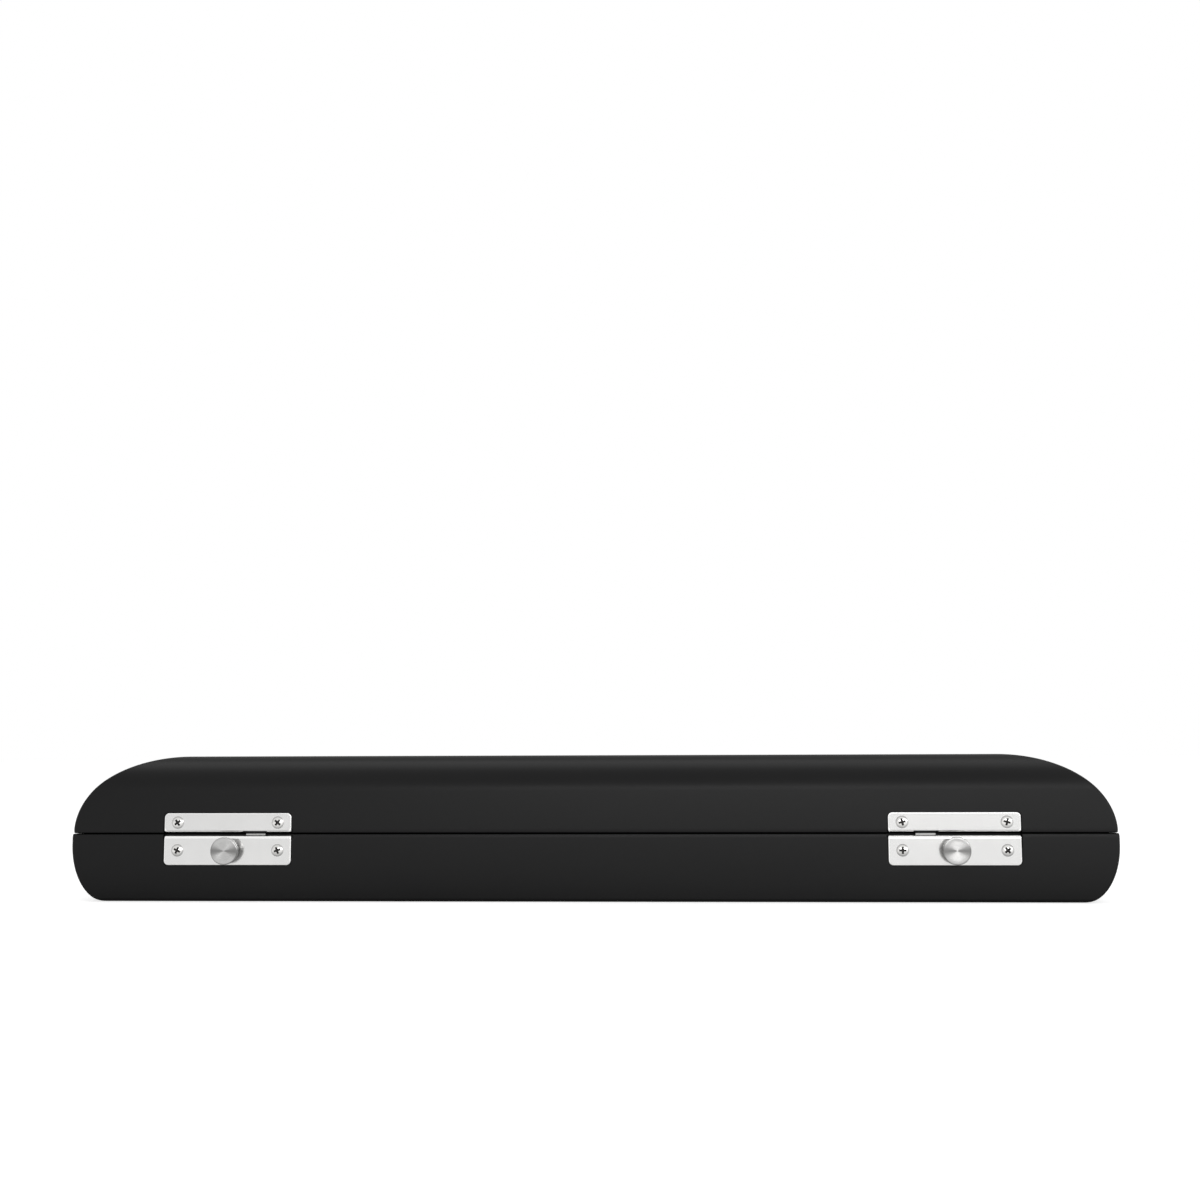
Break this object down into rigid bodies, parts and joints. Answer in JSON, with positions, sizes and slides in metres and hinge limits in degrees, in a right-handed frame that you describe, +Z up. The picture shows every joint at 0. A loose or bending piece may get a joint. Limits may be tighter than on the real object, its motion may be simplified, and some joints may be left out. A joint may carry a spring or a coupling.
{
  "type": "flute case",
  "caption": "Hard black case for a flute: rounded plastic base and hinged lid, spring slide latches, plush tray with recesses for the joints.",
  "frame": {"origin": "centre of the base's flat underside", "axes": "+X along the case to the right latch, +Y to the rear with the hinges, +Z up"},
  "size_m": [0.42, 0.1202, 0.0582],
  "materials": {
    "shell_black": "black moulded plastic, satin with a very fine grain",
    "latch_nickel": "bright nickel plate on stamped steel",
    "knob_nickel": "bright plated side, spun face with fine circular brushing",
    "screw_nickel": "nickel-plated cross-head screws",
    "hinge_nickel": "nickel-plated sheet steel",
    "works_steel": "plain zinc-plated steel of the bolt, spring and hinge pin",
    "tray_plush": "short navy plush over moulded foam",
    "pad_plush": "short navy plush over a foam pad",
    "pad_board": "dark grey board"
  },
  "bodies": {
    "base": {"base_shell": "shell_black", "tray_floor_pad": "tray_plush", "tray_front_rail": "tray_plush", "tray_middle_rail": "tray_plush", "tray_rear_rail": "tray_plush", "tray_left_block": "tray_plush", "tray_right_block": "tray_plush", "tray_divider": "tray_plush", "tray_head_strips": "tray_plush", "left_latch_plate": "latch_nickel", "left_latch_spring": "works_steel", "left_latch_screws": "screw_nickel", "left_hinge_base_leaf": "hinge_nickel", "left_hinge_pin": "works_steel", "left_hinge_base_screws": "screw_nickel", "right_latch_plate": "latch_nickel", "right_latch_spring": "works_steel", "right_latch_screws": "screw_nickel", "right_hinge_base_leaf": "hinge_nickel", "right_hinge_pin": "works_steel", "right_hinge_base_screws": "screw_nickel"},
    "lid": {"lid_shell": "shell_black", "lid_pad_board": "pad_board", "lid_pad": "pad_plush", "left_strike_plate": "latch_nickel", "left_strike_screws": "screw_nickel", "left_hinge_lid_leaf": "hinge_nickel", "left_hinge_lid_screws": "screw_nickel", "right_strike_plate": "latch_nickel", "right_strike_screws": "screw_nickel", "right_hinge_lid_leaf": "hinge_nickel", "right_hinge_lid_screws": "screw_nickel"},
    "left_latch": {"left_latch_bolt": "works_steel", "left_latch_knob": "knob_nickel"},
    "right_latch": {"right_latch_bolt": "works_steel", "right_latch_knob": "knob_nickel"}
  },
  "joints": [
    {"name": "lid_hinge", "type": "hinge", "parent": "base", "child": "lid", "pos_m": [0, 0.0564, 0.02715], "axis": [-1, 0, 0], "range_deg": [0, 105]},
    {"name": "left_latch_slide", "type": "slide", "parent": "base", "child": "left_latch", "axis": [-1, 0, 0], "range_m": [0, 0.0036], "stiffness_N_per_m": 200, "springref_m": -0.004, "deforming": ["left_latch_spring"]},
    {"name": "right_latch_slide", "type": "slide", "parent": "base", "child": "right_latch", "axis": [1, 0, 0], "range_m": [0, 0.0036], "stiffness_N_per_m": 200, "springref_m": -0.004, "deforming": ["right_latch_spring"]}
  ]
}
